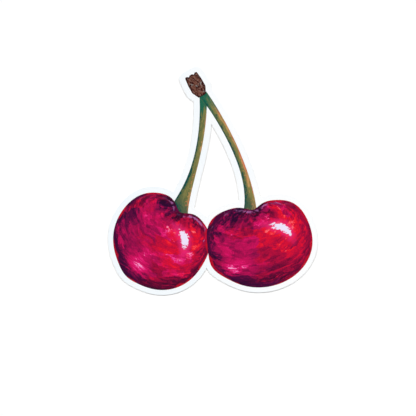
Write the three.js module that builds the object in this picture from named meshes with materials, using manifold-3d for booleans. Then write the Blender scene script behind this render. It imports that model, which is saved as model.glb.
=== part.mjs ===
// A die-cut vinyl sticker in the outline of a pair of cherries, unused and lying face up.
// From the back up: paper release liner, adhesive, white vinyl film and the printed ink areas.
// Millimetres. +Z points out of the printed face, +Y to the top of the figure.
// The origin is the middle of the sticker's outline, on the back of the liner.
import * as THREE from "three";
import { mergeVertices } from "three/addons/utils/BufferGeometryUtils.js";
import Module from "manifold-3d";

// Layer thicknesses of common sticker stock
const LINER_THICKNESS = 0.2;
const ADHESIVE_THICKNESS = 0.03;
const FILM_THICKNESS = 0.1;
const INK_THICKNESS = 0.02;

// White border that the knife leaves round the printed figure, narrowest under and beside the fruit
const FRUIT_BORDER = 1.7;
const FRUIT_TOP_BORDER = 2.1;
const STEM_BORDER = 2;

// Each fruit is an ellipse with a cleft where the stem goes in, a shoulder on each side of it and a swell
// low on its left. Angles are in degrees, counter-clockwise from +X.
const FRUITS = {
  left: {
    centre: [-17.65, -20.7],
    halfWidth: 15.2,
    halfHeight: 16.25,
    tilt: 31,
    stemAngle: 56,
    cleftDepth: 3.3,
    shoulderRise: { left: 0.75, right: 1.6 },
    swellAngle: 225,
    swellRise: 0.65,
  },
  right: {
    centre: [16.35, -21.5],
    halfWidth: 17.05,
    halfHeight: 14.25,
    tilt: 9.5,
    stemAngle: 104,
    cleftDepth: 2.35,
    shoulderRise: { left: 2.7, right: 1.85 },
    swellAngle: 204,
    swellRise: 1.3,
  },
};
const CLEFT_SPREAD = 14;
const SHOULDER_ANGLE = 52;
const SHOULDER_SPREAD = 24;
const SWELL_SPREAD = 16;
const FRUIT_STEPS = 96;

// Each stem is a bent strip from the spur down into its fruit's cleft, slim in the middle and flared at both
// ends. Its route is a cubic curve: the top, a handle below it, a handle above the foot, and the foot.
// The foot's flare, its own to each side, starts at a share of the route.
const STEMS = {
  left: {
    route: [[-3.1, 28.6], [-2.5, 10.5], [-8, -1.1], [-10.5, -11]],
    slimHalfWidth: 0.82,
    spurFlare: 0.45,
    footFlare: { left: 3.6, right: 1.5 },
    footFlareStart: 0.2,
  },
  right: {
    route: [[-3.2, 28.6], [0.9, 23.6], [12.8, 4.6], [13.2, -11]],
    slimHalfWidth: 1.02,
    spurFlare: 0.42,
    footFlare: { left: 2, right: 0.6 },
    footFlareStart: 0.48,
  },
};
const STEM_STEPS = 28;
const FLARE_POWER = 3;

// The woody spur that joins the stems: a block with a full belly, rounded corners and a notched cut end.
const SPUR_CENTRE = [-5.33, 31.54];
const SPUR_LEAN = 29;
const SPUR_LENGTH = 8;
const SPUR_STEM_END_WIDTH = 3;
const SPUR_BELLY_WIDTH = 5.05;
const SPUR_BELLY_BOTTOM = -1.5;
const SPUR_BELLY_TOP = 1.2;
const SPUR_CUT_END_WIDTH = 4.5;
const SPUR_CORNER = 0.4;
const NOTCH_RADIUS = 0.36;
const NOTCH_PITCH = 1.9;
const CORNER_STEPS = 8;

const wasm = await Module();
wasm.setup();

// Shape outlines

const radians = THREE.MathUtils.degToRad;

// A smooth hump of height 1 at zero that fades out over the given spread.
const hump = (offset, spread) => Math.exp(-((offset / spread) ** 2));

// Angle from b to a in degrees, between -180 and 180.
const angleBetween = (a, b) => THREE.MathUtils.euclideanModulo(a - b + 180, 360) - 180;

function fruitRadius(fruit, angle) {
  const turn = radians(angle - fruit.tilt);
  const across = fruit.halfHeight * Math.cos(turn);
  const along = fruit.halfWidth * Math.sin(turn);
  const ellipse = (fruit.halfWidth * fruit.halfHeight) / Math.hypot(across, along);
  const fromStem = angleBetween(angle, fruit.stemAngle);
  const shoulderRise = fromStem > 0 ? fruit.shoulderRise.left : fruit.shoulderRise.right;
  const shoulder = shoulderRise * hump(Math.abs(fromStem) - SHOULDER_ANGLE, SHOULDER_SPREAD);
  const cleft = fruit.cleftDepth * hump(fromStem, CLEFT_SPREAD);
  const swell = fruit.swellRise * hump(angleBetween(angle, fruit.swellAngle), SWELL_SPREAD);
  return ellipse + shoulder - cleft + swell;
}

// Points round a fruit, moved outwards square to the outline by a border with its own width at the top.
function fruitOutline(fruit, border, topBorder) {
  const at = (angle) =>
    new THREE.Vector2(fruitRadius(fruit, angle), 0)
      .rotateAround(new THREE.Vector2(), radians(angle))
      .add(new THREE.Vector2(...fruit.centre));
  const step = 360 / FRUIT_STEPS;
  return Array.from({ length: FRUIT_STEPS }, (_, i) => {
    const along = at(i * step + step / 2).sub(at(i * step - step / 2)).normalize();
    const outward = new THREE.Vector2(along.y, -along.x);
    const width = THREE.MathUtils.lerp(border, topBorder, Math.max(0, outward.y));
    return at(i * step).add(outward.multiplyScalar(width));
  });
}

// Points round a stem: down its left side and back up its right one, widened by a margin.
function stemOutline(stem, margin) {
  const route = new THREE.CubicBezierCurve(...stem.route.map(([x, y]) => new THREE.Vector2(x, y)));
  const edge = (t, sign, footFlare) => {
    const footShare = Math.max(0, (t - stem.footFlareStart) / (1 - stem.footFlareStart));
    const halfWidth =
      stem.slimHalfWidth +
      stem.spurFlare * (1 - t) ** FLARE_POWER +
      footFlare * footShare ** FLARE_POWER +
      margin;
    const along = route.getTangent(t);
    return route.getPoint(t).add(new THREE.Vector2(-along.y, along.x).multiplyScalar(sign * halfWidth));
  };
  const steps = Array.from({ length: STEM_STEPS + 1 }, (_, i) => i / STEM_STEPS);
  const left = steps.map((t) => edge(t, -1, stem.footFlare.left));
  const right = steps.map((t) => edge(t, 1, stem.footFlare.right)).reverse();
  return [...left, ...right];
}

// Points round a convex outline, given counter-clockwise, moved outwards by a margin with round corners.
function roundedOutline(corners, margin) {
  return corners.flatMap((corner, i) => {
    const before = corners.at(i - 1);
    const after = corners[(i + 1) % corners.length];
    const start = corner.clone().sub(before).angle() - Math.PI / 2;
    const end = after.clone().sub(corner).angle() - Math.PI / 2;
    const sweep = THREE.MathUtils.euclideanModulo(end - start, 2 * Math.PI);
    const steps = Math.ceil((CORNER_STEPS * sweep) / (Math.PI / 2));
    return Array.from({ length: steps + 1 }, (_, k) => {
      const turn = start + (sweep * k) / steps;
      return new THREE.Vector2(Math.cos(turn), Math.sin(turn)).multiplyScalar(margin).add(corner);
    });
  });
}

// A point of the spur: across its width and along its length, towards the cut end.
function onSpur(across, along) {
  return new THREE.Vector2(across, along)
    .rotateAround(new THREE.Vector2(), radians(SPUR_LEAN))
    .add(new THREE.Vector2(...SPUR_CENTRE));
}

// The spur's corners, drawn in by the corner radius that the rounding gives back.
function spurCorners() {
  const end = SPUR_LENGTH / 2 - SPUR_CORNER;
  const stemEnd = SPUR_STEM_END_WIDTH / 2 - SPUR_CORNER;
  const belly = SPUR_BELLY_WIDTH / 2 - SPUR_CORNER;
  const cutEnd = SPUR_CUT_END_WIDTH / 2 - SPUR_CORNER;
  return [
    onSpur(-stemEnd, -end),
    onSpur(stemEnd, -end),
    onSpur(belly, SPUR_BELLY_BOTTOM),
    onSpur(belly, SPUR_BELLY_TOP),
    onSpur(cutEnd, end),
    onSpur(-cutEnd, end),
    onSpur(-belly, SPUR_BELLY_TOP),
    onSpur(-belly, SPUR_BELLY_BOTTOM),
  ];
}

// Flat solids, each one millimetre thick until a layer scales it

function prism(outline) {
  const extruded = new THREE.ExtrudeGeometry(new THREE.Shape(outline), { depth: 1, bevelEnabled: false });
  extruded.deleteAttribute("normal");
  extruded.deleteAttribute("uv");
  const merged = mergeVertices(extruded);
  const triVerts = new Uint32Array(merged.index.array);
  return new wasm.Manifold(
    new wasm.Mesh({ numProp: 3, vertProperties: merged.attributes.position.array, triVerts }),
  );
}

const joined = (solids) => solids.reduce((all, next) => all.add(next));

// Two round notches in the spur's cut end, which leave three teeth.
function spurNotches() {
  const notches = [-NOTCH_PITCH / 2, NOTCH_PITCH / 2].map((across) => {
    const centre = onSpur(across, SPUR_LENGTH / 2);
    const ring = new THREE.EllipseCurve(centre.x, centre.y, NOTCH_RADIUS, NOTCH_RADIUS);
    return prism(ring.getPoints(2 * CORNER_STEPS).slice(0, -1));
  });
  return joined(notches);
}

const dieCut = joined([
  prism(fruitOutline(FRUITS.left, FRUIT_BORDER, FRUIT_TOP_BORDER)),
  prism(fruitOutline(FRUITS.right, FRUIT_BORDER, FRUIT_TOP_BORDER)),
  prism(stemOutline(STEMS.left, STEM_BORDER)),
  prism(stemOutline(STEMS.right, STEM_BORDER)),
  prism(roundedOutline(spurCorners(), SPUR_CORNER + STEM_BORDER)),
]);

// Printed areas, each cut back where the next one is printed over it
const spurArea = prism(roundedOutline(spurCorners(), SPUR_CORNER)).subtract(spurNotches());
const rightFruitArea = prism(fruitOutline(FRUITS.right, 0, 0));
const leftFruitArea = prism(fruitOutline(FRUITS.left, 0, 0)).subtract(rightFruitArea);
const rightStemArea = prism(stemOutline(STEMS.right, 0)).subtract(joined([spurArea, rightFruitArea]));
const leftStemArea = prism(stemOutline(STEMS.left, 0))
  .subtract(joined([spurArea, rightStemArea, leftFruitArea]));

// Layers

function layer(name, area, bottom, thickness, look) {
  const made = area.getMesh();
  const geometry = new THREE.BufferGeometry();
  geometry.setAttribute("position", new THREE.BufferAttribute(new Float32Array(made.vertProperties), 3));
  geometry.setIndex(new THREE.BufferAttribute(new Uint32Array(made.triVerts), 1));
  geometry.computeVertexNormals();
  const mesh = new THREE.Mesh(geometry, new THREE.MeshStandardMaterial({ metalness: 0, ...look }));
  mesh.name = name;
  mesh.position.z = bottom;
  mesh.scale.z = thickness;
  return mesh;
}

const LINER_LOOK = { color: 0xf2f1ec, roughness: 0.75 };
const ADHESIVE_LOOK = { color: 0xe9e4d0, roughness: 0.3 };
const FILM_LOOK = { color: 0xf3f8fd, roughness: 0.4 };
const FRUIT_LOOK = { color: 0xc20d3c, roughness: 0.35 };
const STEM_LOOK = { color: 0x6f7c3c, roughness: 0.35 };
const SPUR_LOOK = { color: 0x5d3328, roughness: 0.4 };

const adhesiveBottom = LINER_THICKNESS;
const filmBottom = adhesiveBottom + ADHESIVE_THICKNESS;
const inkBottom = filmBottom + FILM_THICKNESS;

const sticker = new THREE.Group();
sticker.add(
  layer("release_liner", dieCut, 0, LINER_THICKNESS, LINER_LOOK),
  layer("adhesive_layer", dieCut, adhesiveBottom, ADHESIVE_THICKNESS, ADHESIVE_LOOK),
  layer("face_film", dieCut, filmBottom, FILM_THICKNESS, FILM_LOOK),
  layer("left_fruit_print", leftFruitArea, inkBottom, INK_THICKNESS, FRUIT_LOOK),
  layer("right_fruit_print", rightFruitArea, inkBottom, INK_THICKNESS, FRUIT_LOOK),
  layer("left_stem_print", leftStemArea, inkBottom, INK_THICKNESS, STEM_LOOK),
  layer("right_stem_print", rightStemArea, inkBottom, INK_THICKNESS, STEM_LOOK),
  layer("spur_print", spurArea, inkBottom, INK_THICKNESS, SPUR_LOOK),
);

// The origin goes to the middle of the cut outline.
const outlineBox = new THREE.Box3().setFromObject(sticker);
const middle = outlineBox.getCenter(new THREE.Vector3());
sticker.position.set(-middle.x, -middle.y, 0);

export default sticker;
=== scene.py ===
import math

import bmesh
import bpy
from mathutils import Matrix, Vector
from mathutils.kdtree import KDTree


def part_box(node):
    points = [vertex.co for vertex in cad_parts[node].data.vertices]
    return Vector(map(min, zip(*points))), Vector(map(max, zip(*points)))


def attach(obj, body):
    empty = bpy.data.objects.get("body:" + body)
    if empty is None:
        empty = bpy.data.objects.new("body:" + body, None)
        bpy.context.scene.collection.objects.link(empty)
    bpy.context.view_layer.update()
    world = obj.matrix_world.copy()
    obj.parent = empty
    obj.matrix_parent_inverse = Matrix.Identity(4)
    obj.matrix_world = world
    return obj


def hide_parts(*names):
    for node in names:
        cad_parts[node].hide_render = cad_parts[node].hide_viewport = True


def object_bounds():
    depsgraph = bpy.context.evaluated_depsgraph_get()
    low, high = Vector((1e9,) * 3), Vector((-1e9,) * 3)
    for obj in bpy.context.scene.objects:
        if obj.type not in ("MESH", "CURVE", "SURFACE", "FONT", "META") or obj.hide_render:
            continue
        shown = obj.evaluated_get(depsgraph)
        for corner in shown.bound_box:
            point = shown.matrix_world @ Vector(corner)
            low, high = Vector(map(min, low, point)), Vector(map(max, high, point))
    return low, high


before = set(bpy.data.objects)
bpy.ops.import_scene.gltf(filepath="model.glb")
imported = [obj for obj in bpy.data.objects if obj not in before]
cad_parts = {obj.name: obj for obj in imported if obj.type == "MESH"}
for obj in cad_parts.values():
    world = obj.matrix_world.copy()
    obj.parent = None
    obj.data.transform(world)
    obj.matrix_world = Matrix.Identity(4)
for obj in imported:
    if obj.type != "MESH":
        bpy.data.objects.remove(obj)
cad_low, cad_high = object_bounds()


# Release liner
# The sheet of bleached kraft paper that keeps the adhesive clean until the sticker is used. It is coated
# so that the adhesive lets go of it, and the knife cuts it through together with the film.


class Paint:
    """A value, colour or vector on its way through a material's nodes.

    Sums and products of values add Math nodes, and node() adds a node of any other kind."""

    def __init__(self, tree, socket):
        self.tree = tree
        self.socket = socket

    def node(self, kind, settings, sockets, output=0):
        made = self.tree.nodes.new(kind)
        for name, value in settings.items():
            if name == "stops":
                spread_stops(made.color_ramp, value)
            else:
                setattr(made, name, value)
        fill_sockets(made, sockets)
        return Paint(self.tree, made.outputs[output])

    def math(self, operation, *others):
        return self.node("ShaderNodeMath", {"operation": operation}, dict(enumerate((self, *others))))

    def vector(self, operation, *others, output=0):
        sockets = dict(enumerate((self, *others)))
        return self.node("ShaderNodeVectorMath", {"operation": operation}, sockets, output)

    def __add__(self, other):
        return self.math("ADD", other)

    __radd__ = __add__

    def __sub__(self, other):
        return self.math("SUBTRACT", other)

    def __rsub__(self, other):
        return (self * -1) + other

    def __mul__(self, other):
        return self.math("MULTIPLY", other)

    __rmul__ = __mul__

    def __pow__(self, other):
        return self.math("POWER", other)

    def fade(self, start, end):
        """0 at start and 1 at end, eased in between and flat outside."""
        sockets = {"Value": self, "From Min": start, "From Max": end}
        return self.node("ShaderNodeMapRange", {"interpolation_type": "SMOOTHSTEP"}, sockets)

    def swing(self, width):
        """A share from 0 to 1 as a swing of this width about zero."""
        return (self - 0.5) * width

    def split(self):
        made = self.tree.nodes.new("ShaderNodeSeparateXYZ")
        self.tree.links.new(self.socket, made.inputs[0])
        return [Paint(self.tree, socket) for socket in made.outputs]

    def noise(self, scale, detail=2.0, roughness=0.5, output=0):
        sockets = {"Vector": self, "Scale": scale, "Detail": detail, "Roughness": roughness}
        return self.node("ShaderNodeTexNoise", {}, sockets, output)

    def laid(self, under, over):
        """The colour over laid on the colour under, as thickly as this value says."""
        return self.node("ShaderNodeMix", {"data_type": "RGBA"}, {0: self, 6: under, 7: over}, output=2)

    def bump(self, depth):
        return self.node("ShaderNodeBump", {}, {"Height": self, "Strength": 1.0, "Distance": depth})


def spread_stops(ramp, stops):
    while len(ramp.elements) < len(stops):
        ramp.elements.new(1.0)
    for element, (position, colour) in zip(ramp.elements, stops):
        element.position = position
        element.color = colour


def fill_sockets(made, sockets):
    for key, value in sockets.items():
        if isinstance(value, Paint):
            value.tree.links.new(value.socket, made.inputs[key])
        else:
            made.inputs[key].default_value = value


def start_finish(name):
    """A new material, its surface shader, and the piece's own coordinates to paint by."""
    material = bpy.data.materials.new(name)
    material.use_nodes = True
    tree = material.node_tree
    coordinates = tree.nodes.new("ShaderNodeTexCoord")
    return material, tree.nodes["Principled BSDF"], Paint(tree, coordinates.outputs["Object"])


def ink(red, green, blue):
    """A colour from its 0 to 255 values as they look on a screen."""
    shares = (value / 255 for value in (red, green, blue))
    linear = (s / 12.92 if s <= 0.04045 else ((s + 0.055) / 1.055) ** 2.4 for s in shares)
    return (*linear, 1.0)


def paper_finish():
    material, shader, place = start_finish("liner_paper")
    clouds = place.noise(scale=260, detail=3)
    fibres = place.vector("MULTIPLY", (1.0, 0.22, 1.0)).noise(scale=5200, detail=4, roughness=0.65)
    sheet = clouds.laid(ink(238, 237, 232), ink(245, 244, 241))
    flecked = fibres.fade(0.58, 0.72).laid(sheet, ink(222, 219, 209))
    fill_sockets(shader, {
        "Base Color": flecked,
        "Roughness": fibres * 0.2 + 0.5,
        "Specular IOR Level": 0.35,
        "Normal": fibres.bump(depth=0.00002),
    })
    return material


def dress_solid(node, material):
    """Gives a solid that keeps its own shape a finish."""
    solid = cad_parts[node]
    solid.data.materials.clear()
    solid.data.materials.append(material)


dress_solid("release_liner", paper_finish())


# Adhesive
# A clear acrylic layer rolled on between the liner and the film. Only its edge shows, as a thin
# yellowish line round the cut, and the roller leaves faint streaks in it.


def adhesive_finish():
    material, shader, place = start_finish("acrylic_adhesive")
    streaks = place.vector("MULTIPLY", (1.0, 0.05, 1.0)).noise(scale=2400, detail=2)
    fill_sockets(shader, {
        "Base Color": streaks.laid(ink(226, 217, 190), ink(240, 233, 212)),
        "Roughness": streaks * 0.15 + 0.2,
        "Specular IOR Level": 0.45,
    })
    return material


dress_solid("adhesive_layer", adhesive_finish())


# Face film
# White vinyl, calendered to a satin face, that carries the print and shows bare as the border round it.
# The knife comes down on this side, so the film's upper edge is rolled over a little all round.

MERGE_REACH = 1e-7
LEVEL_NORMAL = 0.5
EDGE_ROLL = 0.00003


def merged_copy(node):
    """A solid's own shape as one closed mesh."""
    mesh = bmesh.new()
    mesh.from_mesh(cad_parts[node].data)
    bmesh.ops.remove_doubles(mesh, verts=mesh.verts, dist=MERGE_REACH)
    return mesh


def roll_upper_edge(mesh, depth):
    """Draws the upper face in and the edge round it down, then fills the face again."""
    face = [f for f in mesh.faces if f.normal.z > LEVEL_NORMAL]
    rim = bmesh.ops.inset_region(mesh, faces=face, thickness=depth, use_boundary=True, use_even_offset=True)
    inner = {vert for f in face for vert in f.verts}
    outer = {vert for f in rim["faces"] for vert in f.verts} - inner
    bmesh.ops.translate(mesh, verts=list(outer), vec=(0, 0, -depth))
    fold = [e for e in mesh.edges if {f in face for f in e.link_faces} == {True, False}]
    bmesh.ops.delete(mesh, geom=face, context="FACES")
    bmesh.ops.triangle_fill(mesh, edges=fold, use_beauty=True, normal=(0, 0, 1))


def add_piece(name, mesh, material, node):
    """Turns a finished mesh into a piece that stands for one of the solids."""
    data = bpy.data.meshes.new(name)
    mesh.to_mesh(data)
    mesh.free()
    data.materials.append(material)
    piece = bpy.data.objects.new(name, data)
    bpy.context.scene.collection.objects.link(piece)
    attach(piece, "root")
    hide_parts(node)


def vinyl_finish():
    material, shader, place = start_finish("white_vinyl")
    # The film's place from left to right, used below for a painted shade across the white border.
    across = place.split()[0] * (1 / cad_high.x)
    clouds = place.noise(scale=45, detail=2)
    grain = place.noise(scale=9000, detail=2)
    # Painted shade: the white is bluer on the left and whiter towards the right, as if lit more from the
    # right. Over it, slow clouds vary the white at random.
    tint = (clouds + across * 0.25).fade(0.2, 0.7)
    fill_sockets(shader, {
        "Base Color": tint.laid(ink(238, 244, 248), ink(247, 248, 249)),
        "Roughness": grain * 0.1 + 0.56,
        "Specular IOR Level": 0.25,
        "Normal": grain.bump(depth=0.000004),
    })
    return material


film = merged_copy("face_film")
roll_upper_edge(film, EDGE_ROLL)
add_piece("vinyl_film", film, vinyl_finish(), "face_film")


# Fruit prints
# Two areas of pigment ink in reds and plum, laid down on the film in one pass and dried to a satin skin.
# Each shows a plain round cherry: dark at its rim, lit from the upper right, glowing at the lower left.

INK_GRID = 0.0006
RIM_SAMPLES = 4
MM = 1000

FRUITS = {
    "left_fruit_print": {
        "piece": "left_fruit_ink",
        "tilt": 0.0,
        "cavity": (0.46, 0.68),
        "glint": (0.50, 0.06),
        "glint_turn": -72,
        "seed": (3.1, 0.0, 7.7),
    },
    "right_fruit_print": {
        "piece": "right_fruit_ink",
        "tilt": 8.0,
        "cavity": (-0.14, 0.80),
        "glint": (0.46, 0.30),
        "glint_turn": -38,
        "seed": (0.0, 5.3, 1.9),
    },
}

WARM = [
    (0.0, ink(46, 2, 34)),
    (0.12, ink(80, 3, 43)),
    (0.25, ink(106, 4, 48)),
    (0.4, ink(142, 6, 54)),
    (0.55, ink(172, 8, 56)),
    (0.7, ink(202, 10, 52)),
    (0.84, ink(226, 14, 42)),
    (0.94, ink(238, 40, 52)),
    (1.0, ink(244, 110, 120)),
]
COOL = [
    (0.0, ink(40, 3, 44)),
    (0.12, ink(74, 4, 54)),
    (0.25, ink(100, 6, 60)),
    (0.4, ink(138, 8, 68)),
    (0.55, ink(168, 10, 76)),
    (0.7, ink(196, 12, 86)),
    (0.84, ink(218, 18, 104)),
    (0.94, ink(230, 64, 144)),
    (1.0, ink(238, 150, 196)),
]
UNDERPAINT = ink(196, 12, 34)
MAUVE = ink(166, 100, 162)
PINK = ink(232, 40, 112)
LAVENDER = ink(232, 222, 244)

LIGHT = (0.36, 0.3, 0.62)
GLOW_SPOT = (-0.46, -0.44)
GLINT_SIZE = (0.2, 0.085)
SHADE_REACH_MM = (3.4, 1.2)
WASH_REACH_MM = (0.6, 0.1)
SHEEN_FROM_RIM_MM = 1.0


def gridded_copy(node):
    """A printed area's own shape with its flat faces cut along a square grid, to carry marks."""
    mesh = merged_copy(node)
    level = [f for f in mesh.faces if abs(f.normal.z) > LEVEL_NORMAL]
    bmesh.ops.dissolve_faces(mesh, faces=level)
    low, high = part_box(node)
    for axis in (0, 1):
        normal = Vector((0, 0, 0))
        normal[axis] = 1
        lines = int((high[axis] - low[axis]) / INK_GRID)
        for line in range(1, lines + 1):
            cut = low + normal * (line * INK_GRID)
            parts = mesh.verts[:] + mesh.edges[:] + mesh.faces[:]
            bmesh.ops.bisect_plane(mesh, geom=parts, dist=MERGE_REACH, plane_co=cut, plane_no=normal)
    return mesh


def upper_rim(mesh):
    """The edges where the upper face meets the cut sides."""
    top = max(vert.co.z for vert in mesh.verts)
    level = [e for e in mesh.edges if all(abs(v.co.z - top) < MERGE_REACH for v in e.verts)]
    return [e for e in level if any(abs(face.normal.z) < LEVEL_NORMAL for face in e.link_faces)]


def rim_points(edges):
    """Points along some edges, as a tree to find the nearest in, seen from straight above."""
    shares = [step / RIM_SAMPLES for step in range(RIM_SAMPLES)]
    points = [e.verts[0].co.lerp(e.verts[1].co, share) for e in edges for share in shares]
    tree = KDTree(len(points))
    for index, point in enumerate(points):
        tree.insert((point.x, point.y, 0), index)
    tree.balance()
    return tree


def mark_rim(mesh):
    """Marks each point with its distance in millimetres to the edge of the print."""
    rim = mesh.verts.layers.float.new("rim")
    edge = rim_points(upper_rim(mesh))
    for vert in mesh.verts:
        vert[rim] = edge.find((vert.co.x, vert.co.y, 0))[2] * MM


def read_mark(place, name):
    """A mark that the mesh carries from point to point."""
    return place.node("ShaderNodeAttribute", {"attribute_name": name}, {}, output=2)


def around(place, middle, turn, size):
    """Coordinates about the middle of a painted shape, turned with it and measured in its size."""
    return place.node("ShaderNodeMapping", {"vector_type": "TEXTURE"}, {
        "Vector": place,
        "Location": middle,
        "Rotation": (0, 0, turn),
        "Scale": size,
    })


def frayed(path, scale, reach):
    """A path pushed about by noise, so that marks along it get uneven edges."""
    push = path.noise(scale=scale, detail=3, output=1).vector("SUBTRACT", (0.5, 0.5, 0.5))
    return path.vector("ADD", push.vector("MULTIPLY", reach))


def brush_dabs(path):
    """Two random shares for each dab of a brush along a path."""
    cells = path.node("ShaderNodeTexVoronoi", {"feature": "F1"}, {"Vector": path, "Scale": 1.0}, output=1)
    return cells.split()[:2]


def dry_ink(shader, colour, grain):
    """The ink's dry satin skin, a little uneven in its sheen."""
    fill_sockets(shader, {
        "Base Color": colour,
        "Roughness": grain * 0.08 + 0.56,
        "Specular IOR Level": 0.2,
    })


def fruit_finish(name, centre, half, look):
    material, shader, place = start_finish(name)
    disc = around(place, (*centre, 0), math.radians(look["tilt"]), (*half, 1))
    shifted = disc.vector("ADD", look["seed"])
    loose = frayed(shifted, scale=2.2, reach=(0.16, 0.16, 0)).vector("SUBTRACT", look["seed"])
    across, up, _ = loose.split()
    dome = (1 - across * across - up * up).math("MAXIMUM", 0.0) ** 0.5
    ball = place.node("ShaderNodeCombineXYZ", {}, {"X": across, "Y": up, "Z": dome})
    rim = read_mark(place, "rim")

    # The ball's own poles and meridians: the stem stands at one pole
    pole = Vector((*look["cavity"], 0))
    pole.z = (1 - pole.length_squared) ** 0.5
    east = pole.cross(Vector((0, 0, 1))).normalized()
    front = east.cross(pole)
    from_stem = ball.vector("DOT_PRODUCT", pole, output=1).math("ARCCOSINE")
    turn_x = ball.vector("DOT_PRODUCT", east, output=1)
    turn_y = ball.vector("DOT_PRODUCT", front, output=1)
    turn = place.node("ShaderNodeCombineXYZ", {}, {"X": turn_x, "Y": turn_y}).vector("NORMALIZE")

    def brush(round_steps, stem_steps):
        """A path that brush marks run along: few steps round the ball, many away from the stem."""
        away = place.node("ShaderNodeCombineXYZ", {}, {"Z": from_stem * stem_steps})
        path = turn.vector("MULTIPLY", (round_steps, round_steps, 0)).vector("ADD", away)
        return path.vector("ADD", look["seed"])

    def dabs(round_steps, stem_steps):
        return brush_dabs(frayed(brush(round_steps, stem_steps), scale=2.4, reach=(0.7, 0.7, 0.7)))

    broad, hue = dabs(round_steps=1.5, stem_steps=4.0)
    small, patch = dabs(round_steps=3.2, stem_steps=9.0)
    fleck, spark = dabs(round_steps=7.0, stem_steps=22.0)
    bristles = brush(round_steps=4.0, stem_steps=30.0).noise(scale=1.0, detail=2, roughness=0.6)
    mottle = shifted.noise(scale=9, detail=4, roughness=0.7)
    drift = shifted.noise(scale=2.6, detail=1)
    tooth = place.noise(scale=2400, detail=3, roughness=0.7)

    # Light on the ball from the upper right, a glow thrown back at the lower left, and the brush's marks
    light = ball.vector("DOT_PRODUCT", LIGHT, output=1)
    glow_across = across - GLOW_SPOT[0]
    glow_up = up - GLOW_SPOT[1]
    glow = ((glow_across * glow_across + glow_up * glow_up) ** 0.5 + mottle.swing(0.3)).fade(0.44, 0.05)
    tone = light * 0.5 + glow * 0.3 + 0.37
    tone = tone + broad.swing(0.3) + small.swing(0.24) + bristles.swing(0.18) + mottle.swing(0.24)
    tone = tone - patch.fade(0.7, 0.85) * 0.16 + fleck.swing(0.2) + tooth.swing(0.5)
    tone = tone + spark.fade(0.6, 0.9) * glow * 0.12

    # Rim: broken shade that closes in on the edge, heavier on the side away from the light
    dark_side = (0.85 - light).math("MAXIMUM", 0.42).math("MINIMUM", 0.95)
    reach = rim + mottle.swing(3.0) + broad.swing(2.0) + fleck.swing(2.4) + tooth.swing(3.0)
    shade = reach.fade(*SHADE_REACH_MM) * dark_side
    tone = tone * (1 - shade * 0.74) - shade * (small - 0.4) * 0.16

    # Hollow round the stem, with streaks that run out of it
    spokes = turn.vector("MULTIPLY", (5.5, 5.5, 0)).vector("ADD", look["seed"]).noise(scale=1.0, detail=3)
    tone = tone - (from_stem - spokes * 0.8).fade(0.3, -0.1) * 0.36

    warm = tone.node("ShaderNodeValToRGB", {"stops": WARM}, {"Fac": tone})
    cool = tone.node("ShaderNodeValToRGB", {"stops": COOL}, {"Fac": tone})
    cast = hue * 0.5 + glow * 0.5 - across * 0.3 + mottle.swing(0.5) + 0.08
    body = cast.fade(0.25, 0.5).laid(warm, cool)

    # The first wash of red shows past the shade at the very edge, and a mauve sheen on the shoulders
    wash = (rim + mottle.swing(0.8) - drift.swing(4.0)).fade(*WASH_REACH_MM)
    wash = wash * from_stem.fade(0.3, 0.6)
    body = (wash * (patch * 0.4 + 0.5)).laid(body, UNDERPAINT)
    off_sheen = (rim + mottle.swing(1.8) - SHEEN_FROM_RIM_MM).math("ABSOLUTE")
    sheen = from_stem.fade(1.05, 0.75) * off_sheen.fade(0.5, 0.1)
    body = (sheen * small.fade(0.35, 0.85) * 0.8).laid(body, MAUVE)

    # Glint: a bent, ragged window of light in a pink haze
    glint = around(disc, (*look["glint"], 0), math.radians(look["glint_turn"]), (*GLINT_SIZE, 1))
    along, side, _ = glint.split()
    bent = side + along * along * 0.5
    window = (along * along + bent * bent) ** 0.5 + mottle.swing(0.9) + fleck.swing(0.5)
    body = (window.fade(2.4, 1.0) * 0.7).laid(body, PINK)
    body = window.fade(1.04, 0.84).laid(body, LAVENDER)

    dry_ink(shader, body, mottle)
    return material


for node, look in FRUITS.items():
    low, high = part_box(node)
    middle = (low + high) / 2
    half = (high - low) / 2
    sheet = gridded_copy(node)
    mark_rim(sheet)
    finish = fruit_finish(look["piece"], middle[:2], half[:2], look)
    add_piece(look["piece"], sheet, finish, node)


# Stem prints
# Two strips of ink in olive, ochre and deep green, butted against the fruit and the spur. Lines along each
# strip stand for the stem's fibres, light on its right, dark on its left and emerald where the stems join.

STEMS = {
    "left_stem_print": {"piece": "left_stem_ink", "dusk": 0.4, "seed": (1.3, 4.0, 0.0)},
    "right_stem_print": {"piece": "right_stem_ink", "dusk": -0.1, "seed": (8.2, 0.0, 2.4)},
}
SIDE_SLANT = 0.5
STEPS_ACROSS = 2.2
STEPS_ALONG = 5.0

OLIVE = ink(128, 122, 70)
MOSS = ink(90, 100, 62)
TEAL = ink(10, 72, 66)
EMERALD = ink(16, 98, 76)
OCHRE = ink(186, 142, 88)
ROSE = ink(204, 116, 82)
BARK_BROWN = ink(62, 54, 38)


def mark_across(mesh):
    """Marks each point with its place across the strip: -1 at the left edge and 1 at the right."""
    across = mesh.verts.layers.float.new("across")
    sides = {-1: [], 1: []}
    for edge in upper_rim(mesh):
        wall = next(face for face in edge.link_faces if abs(face.normal.z) < LEVEL_NORMAL)
        if abs(wall.normal.x) > SIDE_SLANT:
            sides[math.copysign(1, wall.normal.x)].append(edge)
    left, right = rim_points(sides[-1]), rim_points(sides[1])
    for vert in mesh.verts:
        spot = (vert.co.x, vert.co.y, 0)
        to_left, to_right = left.find(spot)[2], right.find(spot)[2]
        vert[across] = (to_left - to_right) / max(to_left + to_right, MERGE_REACH)


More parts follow.
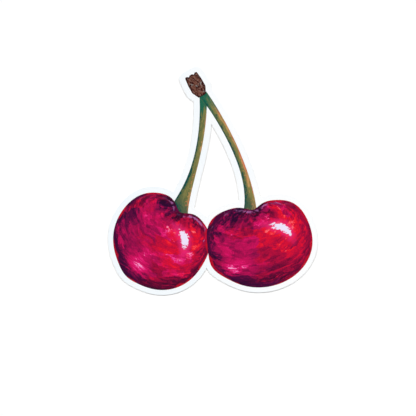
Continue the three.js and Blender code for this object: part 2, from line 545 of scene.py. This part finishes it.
def stem_finish(name, low, high, dusk, seed):
    material, shader, place = start_finish(name)
    across = read_mark(place, "across")
    height = (place.split()[1] - low.y) * (1 / (high.y - low.y))
    strip = place.node("ShaderNodeCombineXYZ", {}, {"X": across * STEPS_ACROSS, "Y": height * STEPS_ALONG})
    fibres = strip.vector("ADD", seed).noise(scale=1.6, detail=4, roughness=0.6)
    strokes = strip.vector("MULTIPLY", (1.0, 2.6, 1.0)).vector("ADD", seed)
    dab, tint = brush_dabs(frayed(strokes, scale=3.0, reach=(0.8, 0.8, 0)))
    specks = place.vector("ADD", seed).noise(scale=1600, detail=3, roughness=0.7)

    body = (fibres + dab.swing(0.25) + specks.swing(0.4)).fade(0.4, 0.6).laid(OLIVE, MOSS)
    lit = (across + fibres.swing(1.8) + dab.swing(1.0) + specks.swing(2.0) - dusk).fade(0.3, 0.7)
    body = lit.laid(body, OCHRE)
    body = (lit * tint.fade(0.6, 0.75) * 0.8).laid(body, ROSE)
    shade = (across + fibres.swing(1.5) + dab.swing(0.9) + specks.swing(2.0)).fade(-0.5, -0.85)
    body = shade.laid(body, TEAL)
    foot = (height + fibres.swing(0.25) + across * 0.06).fade(0.16, 0.03)
    body = (foot * 0.6).laid(body, TEAL)
    crown = (height + fibres.swing(0.25) + dab.swing(0.1)).fade(0.82, 0.93)
    body = (crown * 0.92).laid(body, EMERALD)
    line = (across * across + specks.swing(0.9)).fade(0.74, 1.06)
    body = (line * 0.5).laid(body, BARK_BROWN)
    dry_ink(shader, body, specks)
    return material


for node, look in STEMS.items():
    sheet = gridded_copy(node)
    mark_across(sheet)
    finish = stem_finish(look["piece"], *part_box(node), look["dusk"], look["seed"])
    add_piece(look["piece"], sheet, finish, node)


# Spur print
# A small patch of brown ink where the stems' upper ends meet, with bark lines along it and a paler cut end.
# It is printed in the same pass as the rest, and dries to the same satin skin.

SPUR_LEAN = math.radians(29)
UMBER = ink(114, 72, 60)
DARK_UMBER = ink(44, 4, 6)
TAN = ink(136, 102, 90)
LICHEN = ink(132, 130, 126)


def spur_finish(low, high):
    material, shader, place = start_finish("spur_ink")
    middle = (low + high) / 2
    length = (high - low).y
    upright = around(place, middle, SPUR_LEAN, (length, length, length))
    up = upright.split()[1]
    bark = upright.vector("MULTIPLY", (7, 2.6, 1)).noise(scale=1.7, detail=4, roughness=0.7)
    flakes = upright.noise(scale=13, detail=3, roughness=0.65)
    rim = read_mark(place, "rim")

    body = bark.fade(0.44, 0.56).laid(UMBER, DARK_UMBER)
    cut_end = (up + flakes.swing(0.5)).fade(0.3, 0.46)
    body = (cut_end * 0.6).laid(body, TAN)
    body = (flakes.fade(0.54, 0.6) * 0.9).laid(body, TAN)
    body = (upright.noise(scale=7, detail=3).fade(0.58, 0.64) * 0.8).laid(body, LICHEN)
    body = (rim + flakes.swing(1.2)).fade(0.75, 0.1).laid(body, DARK_UMBER)
    dry_ink(shader, body, flakes)
    return material


sheet = gridded_copy("spur_print")
mark_rim(sheet)
add_piece("spur_ink", sheet, spur_finish(*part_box("spur_print")), "spur_print")


# Floor
# A plain white table top that the sticker lies on, wide enough to fill every view. It is a hair lower
# than the back of the liner, so that no two faces lie in one plane.

FLOOR_SIZE = 6.0
FLOOR_GAP = 0.000002


def floor_finish():
    material, shader, _ = start_finish("white_table")
    fill_sockets(shader, {"Base Color": ink(250, 250, 250), "Roughness": 0.9, "Specular IOR Level": 0.0})
    return material


table = bmesh.new()
bmesh.ops.create_grid(table, x_segments=1, y_segments=1, size=FLOOR_SIZE / 2)
bmesh.ops.translate(table, verts=table.verts, vec=(0, 0, -FLOOR_GAP))
table_mesh = bpy.data.meshes.new("table_top")
table.to_mesh(table_mesh)
table.free()
table_mesh.materials.append(floor_finish())
table_top = bpy.data.objects.new("table_top", table_mesh)
bpy.context.scene.collection.objects.link(table_top)


# Light
# Two lamps, to the left and the right of the top of the figure, and a pale surround, white at eye level.
# They draw a thin line of shadow along the sheet's lower edges, and leave its satin face free of glare.

LAMPS = {
    "left_lamp": {"azimuth": 52, "height": 43, "strength": 1.95, "spread": 8},
    "right_lamp": {"azimuth": 312, "height": 42, "strength": 1.9, "spread": 8},
}
SURROUND = 0.2
WHITE_BELOW = math.radians(11)
PALE_ABOVE = math.radians(15)

for name, lamp in LAMPS.items():
    data = bpy.data.lights.new(name, "SUN")
    data.energy = lamp["strength"]
    data.angle = math.radians(lamp["spread"])
    sun = bpy.data.objects.new(name, data)
    bpy.context.scene.collection.objects.link(sun)
    turn = math.radians(lamp["azimuth"])
    height = math.radians(lamp["height"])
    flat = math.cos(height)
    towards = Vector((-math.sin(turn) * flat, math.cos(turn) * flat, math.sin(height)))
    sun.rotation_euler = towards.to_track_quat("Z", "Y").to_euler()
    sun.visible_glossy = False

world = bpy.data.worlds.new("surround")
world.use_nodes = True
sky = world.node_tree
direction = Paint(sky, sky.nodes.new("ShaderNodeTexCoord").outputs["Generated"])
eye_level = direction.split()[2].fade(math.sin(PALE_ABOVE), math.sin(WHITE_BELOW))
fill_sockets(sky.nodes["Background"], {
    "Color": (1, 1, 1, 1),
    "Strength": eye_level * (1 - SURROUND) + SURROUND,
})
bpy.context.scene.world = world
bpy.context.scene.view_settings.view_transform = "Standard"


# Camera
# Straight above the table, far enough away to draw the flat sheet without perspective.
# The photograph is 416 pixels square, and the sticker's middle is at the pixel given here.

PHOTO_SIZE = 416
STICKER_MIDDLE = (212.84, 180.59)
STICKER_WIDTH = 209.7
LENS = 100

film_low, film_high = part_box("face_film")
pixel = (film_high.x - film_low.x) / STICKER_WIDTH
camera_data = bpy.data.cameras.new("camera")
camera_data.lens = LENS
camera = bpy.data.objects.new("camera", camera_data)
bpy.context.scene.collection.objects.link(camera)
distance = PHOTO_SIZE * pixel * LENS / camera_data.sensor_width
camera.location = (
    (PHOTO_SIZE / 2 - STICKER_MIDDLE[0]) * pixel,
    (STICKER_MIDDLE[1] - PHOTO_SIZE / 2) * pixel,
    film_high.z + distance,
)
bpy.context.scene.camera = camera
